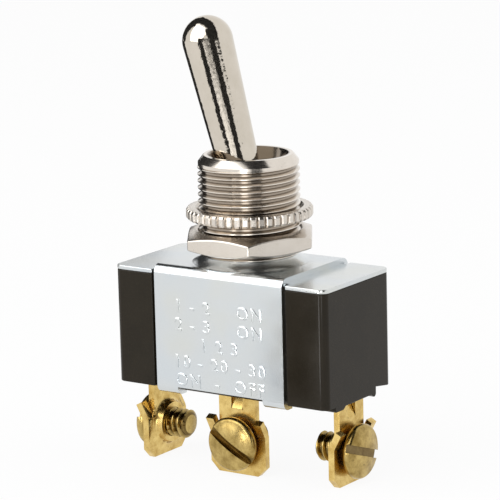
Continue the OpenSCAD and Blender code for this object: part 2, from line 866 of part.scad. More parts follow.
bushing();
lever();
lever_pin();
plunger();
plunger_spring();
hex_nut();
knurled_nut();
mounting_frame();
cover_plate();
insulator();
case();
contact_rocker();
moving_contact(-1);  // moving_contact_left
moving_contact(1);  // moving_contact_right
rocker_saddle();
fixed_contact(-1);  // fixed_contact_left
fixed_contact(1);  // fixed_contact_right
facing_left() terminal(end_foot_l, true);  // terminal_left
facing_front() terminal(centre_foot_l, false);  // terminal_centre
facing_right() terminal(end_foot_l, true);  // terminal_right
facing_left() screw(slot_turns[0]);  // screw_left
facing_front() screw(slot_turns[1]);  // screw_centre
facing_right() screw(slot_turns[2]);  // screw_right
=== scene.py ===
import json
import math
import bpy
from mathutils import Matrix, Vector


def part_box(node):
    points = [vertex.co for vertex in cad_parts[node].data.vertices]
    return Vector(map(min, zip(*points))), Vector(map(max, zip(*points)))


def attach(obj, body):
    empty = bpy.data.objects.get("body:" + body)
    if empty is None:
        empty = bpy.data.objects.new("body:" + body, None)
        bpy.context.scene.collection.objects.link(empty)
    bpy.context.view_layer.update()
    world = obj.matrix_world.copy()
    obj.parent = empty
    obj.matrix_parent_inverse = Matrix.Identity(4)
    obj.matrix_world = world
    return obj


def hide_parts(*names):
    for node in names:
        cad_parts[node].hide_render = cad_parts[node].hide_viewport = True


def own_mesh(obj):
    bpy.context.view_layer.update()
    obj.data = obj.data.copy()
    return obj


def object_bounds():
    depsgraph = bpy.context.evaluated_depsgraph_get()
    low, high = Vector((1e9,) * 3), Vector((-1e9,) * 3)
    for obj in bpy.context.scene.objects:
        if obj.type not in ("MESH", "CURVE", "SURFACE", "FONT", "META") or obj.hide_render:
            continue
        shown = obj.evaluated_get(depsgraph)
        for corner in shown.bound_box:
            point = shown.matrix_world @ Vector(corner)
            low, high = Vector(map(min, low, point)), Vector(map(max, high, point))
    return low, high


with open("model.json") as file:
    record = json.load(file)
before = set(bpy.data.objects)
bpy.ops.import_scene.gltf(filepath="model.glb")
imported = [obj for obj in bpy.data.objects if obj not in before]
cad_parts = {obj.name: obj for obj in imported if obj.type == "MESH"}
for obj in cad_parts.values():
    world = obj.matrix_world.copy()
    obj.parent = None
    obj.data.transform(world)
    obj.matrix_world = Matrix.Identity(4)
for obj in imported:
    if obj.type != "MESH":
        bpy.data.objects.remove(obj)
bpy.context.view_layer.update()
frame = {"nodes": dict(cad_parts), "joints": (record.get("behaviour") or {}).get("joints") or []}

print("Frame loaded")

# Pieces are modelled in millimetres, in the frame's own place, and brought to metres when they are finished
millimetre = 0.001
joints = {joint["name"]: joint for joint in frame["joints"]}


def boxMm(node):
    low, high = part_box(node)
    return low / millimetre, high / millimetre


# Places that several pieces share, from the CAD's joints and boxes
pivotZ = joints["lever_tilt"]["pos_m"][2] / millimetre
leverLean = math.radians(15.4)
screwHeadR = 3.23
screwZ = boxMm("screw_left")[0].z + screwHeadR
nutGap = 0.35
hubZ = boxMm("hex_nut")[0].z - nutGap
bushingTop = boxMm("bushing")[1].z


# Selecting

def objectMode():
    if bpy.context.object and bpy.context.object.mode != "OBJECT":
        bpy.ops.object.mode_set(mode="OBJECT")


def pickNone():
    objectMode()
    bpy.ops.object.select_all(action="DESELECT")


def pick(*pieces):
    pickNone()
    for piece in pieces:
        piece.select_set(True)
    bpy.context.view_layer.objects.active = pieces[-1]


def editAll(piece, elements="FACE"):
    pick(piece)
    bpy.ops.object.mode_set(mode="EDIT")
    bpy.ops.mesh.select_mode(type=elements)
    bpy.ops.mesh.select_all(action="SELECT")


# Edit mode, with only the vertices whose place passes a test
def editVertices(piece, test):
    editAll(piece, "VERT")
    bpy.ops.mesh.select_all(action="DESELECT")
    objectMode()
    for vertex in piece.data.vertices:
        vertex.select = test(vertex.co)
    bpy.ops.object.mode_set(mode="EDIT")


# Making and joining

def applyPlace():
    bpy.ops.object.transform_apply(location=True, rotation=True, scale=True)


def applyModifier(piece, kind, **settings):
    pick(piece)
    modifier = piece.modifiers.new(kind.title(), kind)
    for key, value in settings.items():
        setattr(modifier, key, value)
    bpy.ops.object.modifier_apply(modifier=modifier.name)


def combine(piece, tool, operation):
    applyModifier(piece, "BOOLEAN", object=tool, operation=operation, solver="EXACT")
    bpy.data.objects.remove(tool)


def boxTool(centre, size):
    pickNone()
    bpy.ops.mesh.primitive_cube_add(size=1, location=centre, scale=size)
    applyPlace()
    return bpy.context.object


# A solid of revolution: a disc that is extruded and scaled from ring to ring, each ring a radius and a height
def turned(name, rings, vertices=96):
    tip = 1e-4
    radius, height = rings[0]
    pickNone()
    bpy.ops.mesh.primitive_circle_add(vertices=vertices, radius=radius, fill_type="NGON", location=(0, 0, height))
    piece = bpy.context.object
    piece.name = name
    applyPlace()
    editAll(piece)
    for nextRadius, nextHeight in rings[1:]:
        nextRadius = max(nextRadius, tip)
        bpy.ops.mesh.extrude_region_move(TRANSFORM_OT_translate={"value": (0, 0, nextHeight - height)})
        ratio = nextRadius / radius
        bpy.ops.transform.resize(value=(ratio, ratio, 1), center_override=(0, 0, nextHeight))
        radius, height = nextRadius, nextHeight
    if rings[-1][0] == 0:
        bpy.ops.mesh.merge(type="CENTER")
    bpy.ops.mesh.select_all(action="SELECT")
    bpy.ops.mesh.normals_make_consistent(inside=False)
    objectMode()
    return piece


# The rings of an arc, from one angle to another in degrees
def arcRings(centreR, centreZ, radius, start, end, steps):
    angles = [math.radians(start + (end - start) * k / steps) for k in range(steps + 1)]
    return [(centreR + radius * math.cos(a), centreZ + radius * math.sin(a)) for a in angles]


# A solid rod with a real screw thread: one pitch of the profile, drawn vertex by vertex, then swept up the helix
def threadedRod(name, crestR, rootR, pitch, low, high, steps=72):
    flank = (crestR - rootR) * math.tan(math.radians(30))
    crestFlat = 0.12 * pitch
    rootFlat = pitch - 2 * flank - crestFlat
    profile = [(rootR, 0), (rootR, rootFlat), (crestR, rootFlat + flank), (crestR, rootFlat + flank + crestFlat),
               (rootR, pitch)]
    start = low - 1.5 * pitch
    pickNone()
    bpy.ops.mesh.primitive_plane_add(size=0.1, location=(profile[0][0], 0, start))
    piece = bpy.context.object
    piece.name = name
    applyPlace()
    editAll(piece, "VERT")
    bpy.ops.mesh.merge(type="CENTER")
    for (r, z), (nextR, nextZ) in zip(profile, profile[1:]):
        bpy.ops.mesh.extrude_region_move(TRANSFORM_OT_translate={"value": (nextR - r, 0, nextZ - z)})
    turns = math.ceil((high - low) / pitch) + 3
    applyModifier(piece, "SCREW", angle=2 * math.pi, screw_offset=pitch, iterations=turns, steps=steps,
                  render_steps=steps, use_merge_vertices=True, merge_threshold=0.001)
    for height, normal in ((low, (0, 0, -1)), (high, (0, 0, 1))):
        editAll(piece)
        bpy.ops.mesh.bisect(plane_co=(0, 0, height), plane_no=normal, use_fill=True, clear_outer=True)
    editAll(piece)
    bpy.ops.mesh.remove_doubles(threshold=0.0005)
    bpy.ops.mesh.normals_make_consistent(inside=False)
    objectMode()
    return piece


# A CAD node's own shape, merged and in millimetres
def solidCopy(name, node):
    source = frame["nodes"][node]
    piece = bpy.data.objects.new(name, source.data.copy())
    bpy.context.scene.collection.objects.link(piece)
    pick(piece)
    bpy.ops.transform.resize(value=(1 / millimetre,) * 3, center_override=(0, 0, 0))
    applyPlace()
    editAll(piece)
    bpy.ops.mesh.remove_doubles(threshold=0.004)
    objectMode()
    return piece


# Flat areas made one face each, then sharp edges rounded, as pressing, turning and moulding leave them
def roundEdges(piece, width, segments=2, angle=35, clamp=False):
    editAll(piece)
    bpy.ops.mesh.dissolve_limited(angle_limit=math.radians(1.5))
    objectMode()
    applyModifier(piece, "BEVEL", width=width, segments=segments, limit_method="ANGLE",
                  angle_limit=math.radians(angle), use_clamp_overlap=clamp, harden_normals=False)


# Brings a piece to metres and hands it to the frame
def finishPiece(piece, body, finish, slot, *nodes, smooth=32, flats=False):
    pick(piece)
    piece.location = piece.location * millimetre
    piece.scale = piece.scale * millimetre
    applyPlace()
    bpy.ops.object.shade_smooth_by_angle(angle=math.radians(smooth))
    if flats:
        applyModifier(piece, "WEIGHTED_NORMAL", keep_sharp=True, weight=50)
    piece.data.materials.clear()
    piece.data.materials.append(finish)
    if nodes:
        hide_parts(*nodes)
    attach(piece, body)


# Shader maths: a Signal is an output socket, and Python's own signs on it add Math nodes

class Signal:
    def __init__(self, shading, socket):
        self.shading = shading
        self.socket = socket

    def maths(self, operation, first, second=0.0):
        return self.shading.add("ShaderNodeMath", {"operation": operation}, {0: first, 1: second})

    def __add__(self, other):
        return self.maths("ADD", self, other)

    def __radd__(self, other):
        return self.maths("ADD", other, self)

    def __sub__(self, other):
        return self.maths("SUBTRACT", self, other)

    def __rsub__(self, other):
        return self.maths("SUBTRACT", other, self)

    def __mul__(self, other):
        return self.maths("MULTIPLY", self, other)

    def __rmul__(self, other):
        return self.maths("MULTIPLY", other, self)

    def __pow__(self, other):
        return self.maths("POWER", self, other)

    def __rpow__(self, other):
        return self.maths("POWER", other, self)

    def __gt__(self, other):
        return self.maths("GREATER_THAN", self, other)

    def __lt__(self, other):
        return self.maths("LESS_THAN", self, other)

    def __abs__(self):
        return self.maths("ABSOLUTE", self)


# The nodes of a material or of the world
class Shading:
    def __init__(self, owner):
        owner.use_nodes = True
        self.tree = owner.node_tree

    # Any node: its type, its settings, which are set first, and the values or links of its sockets
    def add(self, kind, settings=None, inputs=None, output=0):
        made = self.tree.nodes.new(kind)
        for key, value in (settings or {}).items():
            if key == "stops":
                ramp = made.color_ramp
                while len(ramp.elements) < len(value):
                    ramp.elements.new(0.5)
                for element, (position, colour) in zip(ramp.elements, value):
                    element.position = position
                    element.color = (*colour, 1)
            else:
                setattr(made, key, value)
        for key, value in (inputs or {}).items():
            self.feed(made.inputs[key], value)
        return Signal(self, made.outputs[output])

    def feed(self, socket, value):
        if isinstance(value, Signal):
            self.tree.links.new(value.socket, socket)
        else:
            socket.default_value = value

    # A node that is there from the start, by its name
    def standing(self, name, output=0):
        return Signal(self, self.tree.nodes[name].outputs[output])

    # 1 for the kinds of ray that are named, and 0 for others
    def raysSeen(self, first, *others):
        seen = self.add("ShaderNodeLightPath", output=first)
        for kind in others:
            seen = seen.maths("MAXIMUM", seen, self.add("ShaderNodeLightPath", output=kind))
        return seen

    def blend(self, factor, first, second, end):
        shown = self.add("ShaderNodeMixShader", None, {0: factor, 1: first, 2: second})
        self.feed(self.tree.nodes[end].inputs["Surface"], shown)

    def span(self, value, low, high, atLow, atHigh):
        return self.add("ShaderNodeMapRange", None, {"Value": value, "From Min": low, "From Max": high,
                                                     "To Min": atLow, "To Max": atHigh})


class Finish(Shading):
    def __init__(self, name, **constants):
        self.material = bpy.data.materials.new(name)
        super().__init__(self.material)
        self.shader = self.tree.nodes["Principled BSDF"]
        for socket, value in constants.items():
            self.shader.inputs[socket.replace("_", " ").title().replace("Ior", "IOR")].default_value = value
        self.place = self.add("ShaderNodeTexCoord", output="Object")
        self.coordinates = self.add("ShaderNodeVectorMath", {"operation": "MULTIPLY"},
                                    {0: self.place, 1: (1 / millimetre,) * 3})

    def noise(self, scale, detail=3.0, roughness=0.55, stretch=(1, 1, 1), shift=(0, 0, 0)):
        moved = self.add("ShaderNodeMapping", None, {"Vector": self.coordinates, "Location": shift, "Scale": stretch})
        return self.add("ShaderNodeTexNoise", None,
                        {"Vector": moved, "Scale": scale, "Detail": detail, "Roughness": roughness})

    def axis(self, letter):
        return self.add("ShaderNodeSeparateXYZ", None, {0: self.coordinates}, letter)

    def dot(self, direction):
        return self.add("ShaderNodeVectorMath", {"operation": "DOT_PRODUCT"}, {0: self.coordinates, 1: direction}, 1)

    def ramp(self, signal, *stops):
        return self.add("ShaderNodeValToRGB", {"stops": stops}, {"Fac": signal})

    # Sockets 6 and 7 are a Mix node's two colours, and output 2 is its colour
    def mix(self, factor, first, second):
        colours = [value if isinstance(value, Signal) else (*value, 1) for value in (first, second)]
        return self.add("ShaderNodeMix", {"data_type": "RGBA"}, {0: factor, 6: colours[0], 7: colours[1]}, 2)

    def bump(self, height, strength, distance):
        made = self.add("ShaderNodeBump", None, {"Height": height, "Strength": strength,
                                                "Distance": distance * millimetre})
        self.feed(self.shader.inputs["Normal"], made)

    def colour(self, value):
        self.feed(self.shader.inputs["Base Color"], value)

    def roughness(self, value):
        self.feed(self.shader.inputs["Roughness"], value)


def grey(value):
    return (value, value, value)


# Bright nickel over turned brass: faint tool rings, handling haze and small warm stains, and where a look gives
# valleys, painted shade in its thread roots
def nickelFinish(name, look):
    finish = Finish(name, metallic=1.0)
    across, deep, high = [finish.axis(letter) for letter in "XYZ"]
    radius = (across * across + deep * deep) ** 0.5
    haze = finish.noise(0.45, 4, 0.6)
    grain = finish.noise(9.0, 2, 0.6, look["stretch"])
    stain = finish.ramp(finish.noise(1.7, 5, 0.7, shift=(3, 1, 7)), (0.60, grey(0)), (0.72, grey(1)))
    clean = finish.mix(haze, look["light"], look["dark"])
    plate = finish.mix(stain * look["stain"], clean, look["stainAndShadeColour"])
    # Painted shade: the thread roots darkened towards the stain colour, except on the rim
    if "valleys" in look:
        inner, outer = look["valleys"]
        valley = finish.span(radius, inner, outer, look["rootShade"], 0.0)
        rim = (high > look["rimFrom"]) * (radius > look["mouth"])
        plate = finish.mix(valley * (1 - rim), plate, look["stainAndShadeColour"])
    finish.colour(plate)
    finish.roughness(look["gloss"] + haze * look["hazeDepth"] + grain * look["grainDepth"])
    peel = finish.noise(2.4, 2, 0.5, (1, 1, 0.7), (4, 4, 4))
    finish.bump(grain * look["bump"] + peel * look["peel"], 1.0, 0.02)
    return finish.material


# Clear zinc plate on rolled sheet: fine rolling lines and a pale blue and yellow bloom
def zincFinish(name, look):
    finish = Finish(name, metallic=1.0)
    bloom = finish.noise(0.16, 2, 0.5)
    cloud = finish.noise(0.6, 4, 0.6, shift=(2, 5, 1))
    rolling = finish.noise(5.0, 3, 0.7, look["stretch"])
    spangle = finish.noise(3.2, 3, 0.55)
    tint = finish.ramp(bloom, (0.35, look["blue"]), (0.5, look["plain"]), (0.65, look["yellow"]))
    finish.colour(finish.mix(cloud * 0.35, tint, look["shade"]))
    finish.roughness(look["gloss"] + cloud * 0.1 + rolling * 0.06)
    finish.bump(rolling * 0.6 + spangle * 0.3, look["bump"], 0.02)
    return finish.material


# Brass: bright where it was cut or pressed, browner in clouds, with stamping grain; on screws, painted shade in the
# slot and the thread valleys
def brassFinish(name, look, slot=None):
    finish = Finish(name, metallic=1.0)
    cloud = finish.noise(0.7, 5, 0.65)
    grain = finish.noise(11.0, 3, 0.7, look["stretch"])
    spots = finish.ramp(finish.noise(2.6, 4, 0.7, shift=(5, 2, 3)), (0.58, grey(0)), (0.74, grey(1)))
    base = finish.mix(finish.ramp(cloud, (0.35, grey(0)), (0.7, grey(1))), look["light"], look["dark"])
    metal = finish.mix(spots * look["tarnish"], base, look["brown"])
    if slot:
        # Painted shade in a screw's slot, darkest on its floor
        across = finish.dot(slot["across"]) - slot["across"].dot(slot["centre"])
        height = finish.dot(slot["outward"]) - slot["outward"].dot(slot["centre"])
        inside = (abs(across) < slot["width"] / 2 + 0.03) * (height > slot["floor"] - 0.05)
        depth = finish.span(height, slot["floor"], slot["floor"] + slot["depth"], look["slotFloorShade"], look["slotLipShade"])
        metal = finish.mix(inside * depth, metal, look["brown"])
        # And painted shade in the valleys of its thread
        reach = finish.add("ShaderNodeVectorMath", {"operation": "DISTANCE"},
                           {0: finish.coordinates, 1: slot["centre"]}, 1)
        radius = (reach * reach - height * height) ** 0.5
        valley = finish.span(radius, slot["rootR"], slot["crestR"], look["threadValleyShade"], 0.0)
        threaded = (height < slot["neck"]) * (height > slot["tip"])
        metal = finish.mix(valley * threaded, metal, look["brown"])
    finish.colour(metal)
    finish.roughness(look["gloss"] + cloud * 0.14 + grain * 0.12)
    finish.bump(grain, look["bump"], 0.025)
    return finish.material


# Moulded phenolic: a dark resin with wood-flour specks and a slightly pitted skin
def phenolicFinish(name, look):
    finish = Finish(name, metallic=0.0, specular_ior_level=0.17)
    flour = finish.ramp(finish.noise(7.0, 4, 0.7), (0.52, grey(0)), (0.75, grey(1)))
    cloud = finish.noise(0.3, 3, 0.5)
    skin = finish.noise(4.0, 6, 0.7)
    base = finish.mix(cloud, look["dark"], look["light"])
    finish.colour(finish.mix(flour * 0.25, base, look["speck"]))
    finish.roughness(look["gloss"] + cloud * 0.08 + flour * 0.05)
    finish.bump(skin, look["bump"], 0.03)
    return finish.material


# Plain inner parts still get a grain and a tone that varies
def plainFinish(name, metallic, light, dark, gloss, grainScale, bump):
    finish = Finish(name, metallic=metallic)
    cloud = finish.noise(0.8, 4, 0.6)
    grain = finish.noise(grainScale, 4, 0.65)
    finish.colour(finish.mix(cloud, light, dark))
    finish.roughness(gloss + grain * 0.12)
    finish.bump(grain, bump, 0.03)
    return finish.material


nickelLooks = {
    "lever": {"light": (0.71, 0.65, 0.57), "dark": (0.54, 0.49, 0.41), "stainAndShadeColour": (0.40, 0.31, 0.21),
              "stain": 0.16, "gloss": 0.04, "hazeDepth": 0.02, "grainDepth": 0.03, "bump": 0.05, "peel": 0.9,
              "stretch": (1, 1, 0.35)},
    # The bushing's valleys are painted shade in its thread roots; the stain colour serves for both stains and that
    # shade
    "bushing": {"light": (0.81, 0.75, 0.68), "dark": (0.66, 0.60, 0.53), "stainAndShadeColour": (0.20, 0.155, 0.11),
                "valleys": (5.5, 5.8), "rimFrom": 7.35, "mouth": 4.8, "rootShade": 0.75, "stain": 0.25,
                "gloss": 0.10, "hazeDepth": 0.07, "grainDepth": 0.05, "bump": 0.06, "peel": 0.1,
                "stretch": (0.3, 0.3, 3)},
    "nut": {"light": (0.71, 0.66, 0.60), "dark": (0.60, 0.545, 0.48), "stainAndShadeColour": (0.33, 0.24, 0.15),
            "stain": 0.2, "gloss": 0.17, "hazeDepth": 0.07, "grainDepth": 0.1, "bump": 0.12, "peel": 0.2,
            "stretch": (2.5, 2.5, 0.5)},
}
finishes = {
    "lever": nickelFinish("nickelLever", nickelLooks["lever"]),
    "bushing": nickelFinish("nickelBushing", nickelLooks["bushing"]),
    "nut": nickelFinish("nickelNut", nickelLooks["nut"]),
    "zinc": zincFinish("zincSheet", {
        "plain": (0.67, 0.695, 0.70), "blue": (0.65, 0.69, 0.715), "yellow": (0.68, 0.695, 0.67),
        "shade": (0.58, 0.61, 0.63), "gloss": 0.14, "bump": 0.04, "stretch": (0.15, 1.6, 1.6)}),
    "stampedBrass": brassFinish("stampedBrass", {
        "light": (0.79, 0.585, 0.22), "dark": (0.50, 0.32, 0.085), "brown": (0.16, 0.08, 0.015), "tarnish": 0.55,
        "gloss": 0.13, "bump": 0.2, "stretch": (1, 1, 0.4)}),
    "phenolic": phenolicFinish("mouldedPhenolic", {
        "dark": (0.013, 0.0100, 0.0058), "light": (0.022, 0.0170, 0.0100), "speck": (0.050, 0.040, 0.026),
        "gloss": 0.13, "bump": 0.08}),
    "steel": plainFinish("springSteel", 1.0, (0.66, 0.66, 0.66), (0.52, 0.52, 0.52), 0.22, 8, 0.08),
    "fibre": plainFinish("redFibre", 0.0, (0.34, 0.13, 0.07), (0.26, 0.10, 0.06), 0.55, 3, 0.2),
    "nylon": plainFinish("naturalNylon", 0.0, (0.86, 0.83, 0.74), (0.80, 0.76, 0.66), 0.35, 4, 0.05),
    "bronze": plainFinish("springBronze", 1.0, (0.80, 0.52, 0.34), (0.68, 0.42, 0.27), 0.24, 9, 0.08),
    "silver": plainFinish("contactSilver", 1.0, (0.88, 0.87, 0.84), (0.78, 0.77, 0.74), 0.22, 9, 0.06),
}
print("Finishes made")


# Lever: the bat, its ball and its tail, turned upright on the pivot and then leaned

leverSize = {"reach": 22.83, "tipR": 2.96, "neckR": 2.37, "ballR": 3.9, "tailR": 2.0, "tailReach": 11.5,
             "tailEdge": 0.2, "boreR": 1.26, "boreTop": 2.2, "pinR": 0.8, "facets": 128, "arcSteps": 20}


def makeLever(size):
    tipZ = size["reach"] - size["tipR"]
    neckZ = math.sqrt(size["ballR"] ** 2 - size["neckR"] ** 2)
    tailZ = -math.sqrt(size["ballR"] ** 2 - size["tailR"] ** 2)
    rings = [(size["boreR"], -size["boreTop"]), (size["boreR"], -size["tailReach"]),
             (size["tailR"] - size["tailEdge"], -size["tailReach"]),
             (size["tailR"], -size["tailReach"] + size["tailEdge"])]
    startAngle = math.degrees(math.asin(tailZ / size["ballR"]))
    endAngle = math.degrees(math.asin(neckZ / size["ballR"]))
    rings += arcRings(0, 0, size["ballR"], startAngle, endAngle, size["arcSteps"])
    slope = math.degrees(math.atan((size["tipR"] - size["neckR"]) / (tipZ - neckZ)))
    rings += arcRings(0, tipZ, size["tipR"], -slope, 90, size["arcSteps"])
    rings[-1] = (0, size["reach"])
    lever = turned("leverBat", rings, size["facets"])
    pinHole = turned("pinHole", [(size["pinR"], -2 * size["ballR"]), (size["pinR"], 2 * size["ballR"])], 48)
    pick(pinHole)
    pinHole.rotation_euler = (math.radians(90), 0, 0)
    applyPlace()
    combine(lever, pinHole, "DIFFERENCE")
    pick(lever)
    lever.rotation_euler = (0, -leverLean, 0)
    lever.location = (0, 0, pivotZ)
    applyPlace()
    finishPiece(lever, "lever", finishes["lever"], "nickel", "lever", smooth=50)


makeLever(leverSize)
print("Lever done")


# Bushing: a threaded rod joined to its rolled foot and plain collar, then bored

bushingSize = {
    "crestR": 5.93, "rootR": 5.50, "pitch": 25.4 / 32, "coreR": 5.42, "collarR": 5.86, "collarH": 0.5,
    "collarEdge": 0.3, "rimR": 5.18, "rimH": 0.82, "rimEdge": 0.08, "mouthR": 4.55, "mouthEdge": 0.25,
    "throatR": 3.503, "throatFrom": 1.98, "throatZ": 2.45, "socketR": 4.02, "spigotR": 5.1, "flangeR": 5.65,
    "flangeH": 0.5, "flangeEdge": 0.15, "sheet": 0.65, "grooveR": 0.86, "grooveReach": 4.65, "facets": 144}


def makeBushing(size):
    rimBottom = bushingTop - size["rimH"]
    collarBottom = rimBottom - size["collarH"]
    bushing = threadedRod("bushingBody", size["crestR"], size["rootR"], size["pitch"], hubZ, collarBottom + 0.15)
    footZ = hubZ - size["sheet"]
    flangeBottom = footZ - size["flangeH"]
    core = turned("core", [
        (size["flangeR"] - size["flangeEdge"], flangeBottom), (size["flangeR"], flangeBottom + size["flangeEdge"]),
        (size["flangeR"], footZ), (size["spigotR"], footZ), (size["spigotR"], hubZ + 0.2), (size["coreR"], hubZ + 0.2),
        (size["coreR"], collarBottom - 0.1), (size["collarR"] - size["collarEdge"], collarBottom - 0.05),
        (size["collarR"], collarBottom + 0.12), (size["collarR"], rimBottom),
        (size["rimR"] + size["rimEdge"], bushingTop - 0.06), (size["rimR"], bushingTop)], size["facets"])
    combine(bushing, core, "UNION")
    # Its bore: a socket for the ball, a throat over it and a flared mouth
    bore = turned("bore", [
        (size["socketR"], hubZ - 3), (size["socketR"], pivotZ)]
        + arcRings(0, pivotZ, size["socketR"], 4, 28, 6)
        + [(size["throatR"], pivotZ + size["throatFrom"]), (size["throatR"], pivotZ + size["throatZ"]),
           (size["mouthR"] - 0.05, bushingTop - size["mouthEdge"]), (size["mouthR"] + 0.12, bushingTop),
           (size["mouthR"] + 0.3, bushingTop + 0.3)], size["facets"])
    combine(bushing, bore, "DIFFERENCE")
    # Two grooves from below let the lever's pin in
    depth = pivotZ + size["grooveR"] - footZ + 1
    groove = boxTool((0, 0, pivotZ + size["grooveR"] - depth / 2),
                     (2 * size["grooveR"], 2 * size["grooveReach"], depth))
    combine(bushing, groove, "DIFFERENCE")
    finishPiece(bushing, "base", finishes["bushing"], "nickel", "bushing", smooth=28)


makeBushing(bushingSize)
print("Bushing done")


# Hex nut: a prism cut by two shallow cones, bored and countersunk

hexSize = {"flats": 14.29, "faceR": 6.35, "coneAngle": 20, "turn": 2.6, "boreR": 5.97, "sinkR": 6.15, "edge": 0.16,
           "facets": 192}


# Both nuts have a bore with a countersink at each end
def boreNut(nut, size, low, high):
    sink = size["sinkR"] - size["boreR"]
    over = 0.2
    hole = turned("hole", [(size["sinkR"] + over, low - over), (size["boreR"], low + sink),
                           (size["boreR"], high - sink), (size["sinkR"] + over, high + over)])
    combine(nut, hole, "DIFFERENCE")


def makeHexNut(size):
    low, high = [corner.z for corner in boxMm("hex_nut")]
    cornerR = size["flats"] / 2 / math.cos(math.radians(30))
    pickNone()
    bpy.ops.mesh.primitive_cylinder_add(vertices=6, radius=cornerR, depth=high - low,
                                        location=(0, 0, (low + high) / 2),
                                        rotation=(0, 0, math.radians(90 + size["turn"])))
    nut = bpy.context.object
    nut.name = "hexNutBody"
    applyPlace()
    slope = math.tan(math.radians(size["coneAngle"]))
    reach = min((cornerR + 1 - size["faceR"]) * slope, (high - low) / 2 - 0.02)
    widest = size["faceR"] + reach / slope
    chamfers = turned("chamfers", [(size["faceR"], low - 0.001), (widest, low + reach), (widest, high - reach),
                                   (size["faceR"], high + 0.001)], size["facets"])
    combine(nut, chamfers, "INTERSECT")
    boreNut(nut, size, low, high)
    roundEdges(nut, size["edge"], angle=25)
    finishPiece(nut, "hex_nut", finishes["nut"], "nickel", "hex_nut", smooth=35, flats=True)


makeHexNut(hexSize)
print("Hex nut done")


# Knurled nut: a ring whose rim is pinched into ridges. Of the eight facets of a ridge, three are drawn in. The rim
# runs out and up in steps, each a distance in from the outside and one from the nut's face

knurlSize = {"outerR": 7.375, "rim": [(0.4, 0), (0.18, 0.06), (0, 0.3)], "ridges": 48, "facets": 8, "depth": 0.34,
             "grooveFrom": 0.3, "grooveShares": {3: 0.3, 4: 1.0, 5: 0.3}, "boreR": 5.97, "sinkR": 6.3}


def makeKnurledNut(size):
    low, high = [corner.z for corner in boxMm("knurled_nut")]
    facets = size["facets"]
    around = size["ridges"] * facets
    inner = size["outerR"] - size["grooveFrom"]
    rim = [(size["outerR"] - inward, up) for inward, up in size["rim"]]
    nut = turned("knurledNutBody", [(r, low + up) for r, up in rim] + [(r, high - up) for r, up in rim[::-1]], around)
    step = 2 * math.pi / around

    def inGroove(place, offset):
        index = round(math.atan2(place.y, place.x) / step)
        return index % facets == offset and math.hypot(place.x, place.y) > inner

    for offset, share in size["grooveShares"].items():
        editVertices(nut, lambda place: inGroove(place, offset))
        ratio = 1 - size["depth"] * share / size["outerR"]
        bpy.ops.transform.resize(value=(ratio, ratio, 1), center_override=(0, 0, 0))
        objectMode()
    boreNut(nut, size, low, high)
    finishPiece(nut, "knurled_nut", finishes["nut"], "nickel", "knurled_nut", smooth=18)


makeKnurledNut(knurlSize)
print("Knurled nut done")


# Mounting frame: the folded sheet of the CAD with its edges worked, and a hub drawn up out of it

frameSize = {"edge": 0.09, "height": 1.1, "boreR": 5.15, "lipR": 5.6, "lip": 0.1, "baseR": 6.95, "sunk": 0.3,
             "hollow": 0.6, "bendStart": 5.93, "bendR": 1.1, "facets": 128, "arcStep": 9}


def makeFrame(size):
    sheet = solidCopy("mountingFrameSheet", "mounting_frame")
    topZ = hubZ - size["height"]
    # The CAD's own hub comes off
    combine(sheet, boxTool((0, 0, topZ + 5), (30, 20, 10)), "DIFFERENCE")
    roundEdges(sheet, size["edge"], clamp=True)
    # The new hub's side runs between a straight cone and a hollow quarter round
    rings = [(size["baseR"], topZ - size["sunk"]), (size["baseR"], topZ - 0.04)]
    for a in range(90 - size["arcStep"], -1, -size["arcStep"]):
        out, down = 1 - math.cos(math.radians(a)), math.sin(math.radians(a))
        straight = a / 90
        share = 1 - size["hollow"]
        rings.append((size["lipR"] + (size["baseR"] - size["lipR"]) * (out + (straight - out) * share),
                      hubZ - size["lip"] - (size["height"] - size["lip"]) * (down + (straight - down) * share)))
    hub = turned("hub", rings + [(size["lipR"] - size["lip"], hubZ)], size["facets"])
    # Its foot lies over the two bends: vertices beyond a bend's start go down as far as the bend does there
    beyond = {round(abs(vertex.co.y), 3) for vertex in hub.data.vertices if abs(vertex.co.y) > size["bendStart"]}
    for reach in sorted(beyond):
        editVertices(hub, lambda place: abs(abs(place.y) - reach) < 0.0006)
        drop = size["bendR"] - math.sqrt(size["bendR"] ** 2 - (reach - size["bendStart"]) ** 2)
        bpy.ops.transform.translate(value=(0, 0, -drop))
        objectMode()
    combine(sheet, hub, "UNION")
    hole = turned("hole", [(size["boreR"], topZ - 2), (size["boreR"], hubZ + 1)])
    combine(sheet, hole, "DIFFERENCE")
    finishPiece(sheet, "base", finishes["zinc"], "zinc", "mounting_frame", flats=True)


makeFrame(frameSize)
print("Mounting frame done")


# Marks stamped up out of the frame's front: plain switch words and terminal numbers

markSize = {"rows": {"1 - 2    ON": -9.25, "2 - 3    ON": -11.45, "1 2 3": -13.65, "10 - 20 - 30": -15.85,
                     "ON  -  OFF": -18.05}, "letter": 2.1, "spread": 1.25, "raised": 0.03,
             "edge": 0.065, "bold": 0.01}


def makeMarks(size):
    rows = []
    for words, height in size["rows"].items():
        pickNone()
        bpy.ops.object.text_add()
        row = bpy.context.object
        row.data.body = words
        row.data.align_x = "CENTER"
        row.data.size = size["letter"]
        row.data.space_character = size["spread"]
        row.data.extrude = size["raised"]
        row.data.bevel_depth = size["edge"]
        row.data.offset = size["bold"]
        row.data.bevel_resolution = 1
        row.data.resolution_u = 4
        bpy.ops.object.convert(target="MESH")
        row = bpy.context.object
        row.rotation_euler = (math.radians(90), 0, 0)
        row.location = (0, boxMm("mounting_frame")[0].y, height)
        applyPlace()
        rows.append(row)
    pick(*rows)
    bpy.ops.object.join()
    marks = bpy.context.object
    marks.name = "stampedMarks"
    editAll(marks)
    bpy.ops.mesh.remove_doubles(threshold=0.001)
    bpy.ops.mesh.normals_make_consistent(inside=False)
    finishPiece(marks, "base", finishes["zinc"], "zinc")


makeMarks(markSize)
print("Stamped marks done")


# Cover plate and moulding: their CAD shape, with worked edges

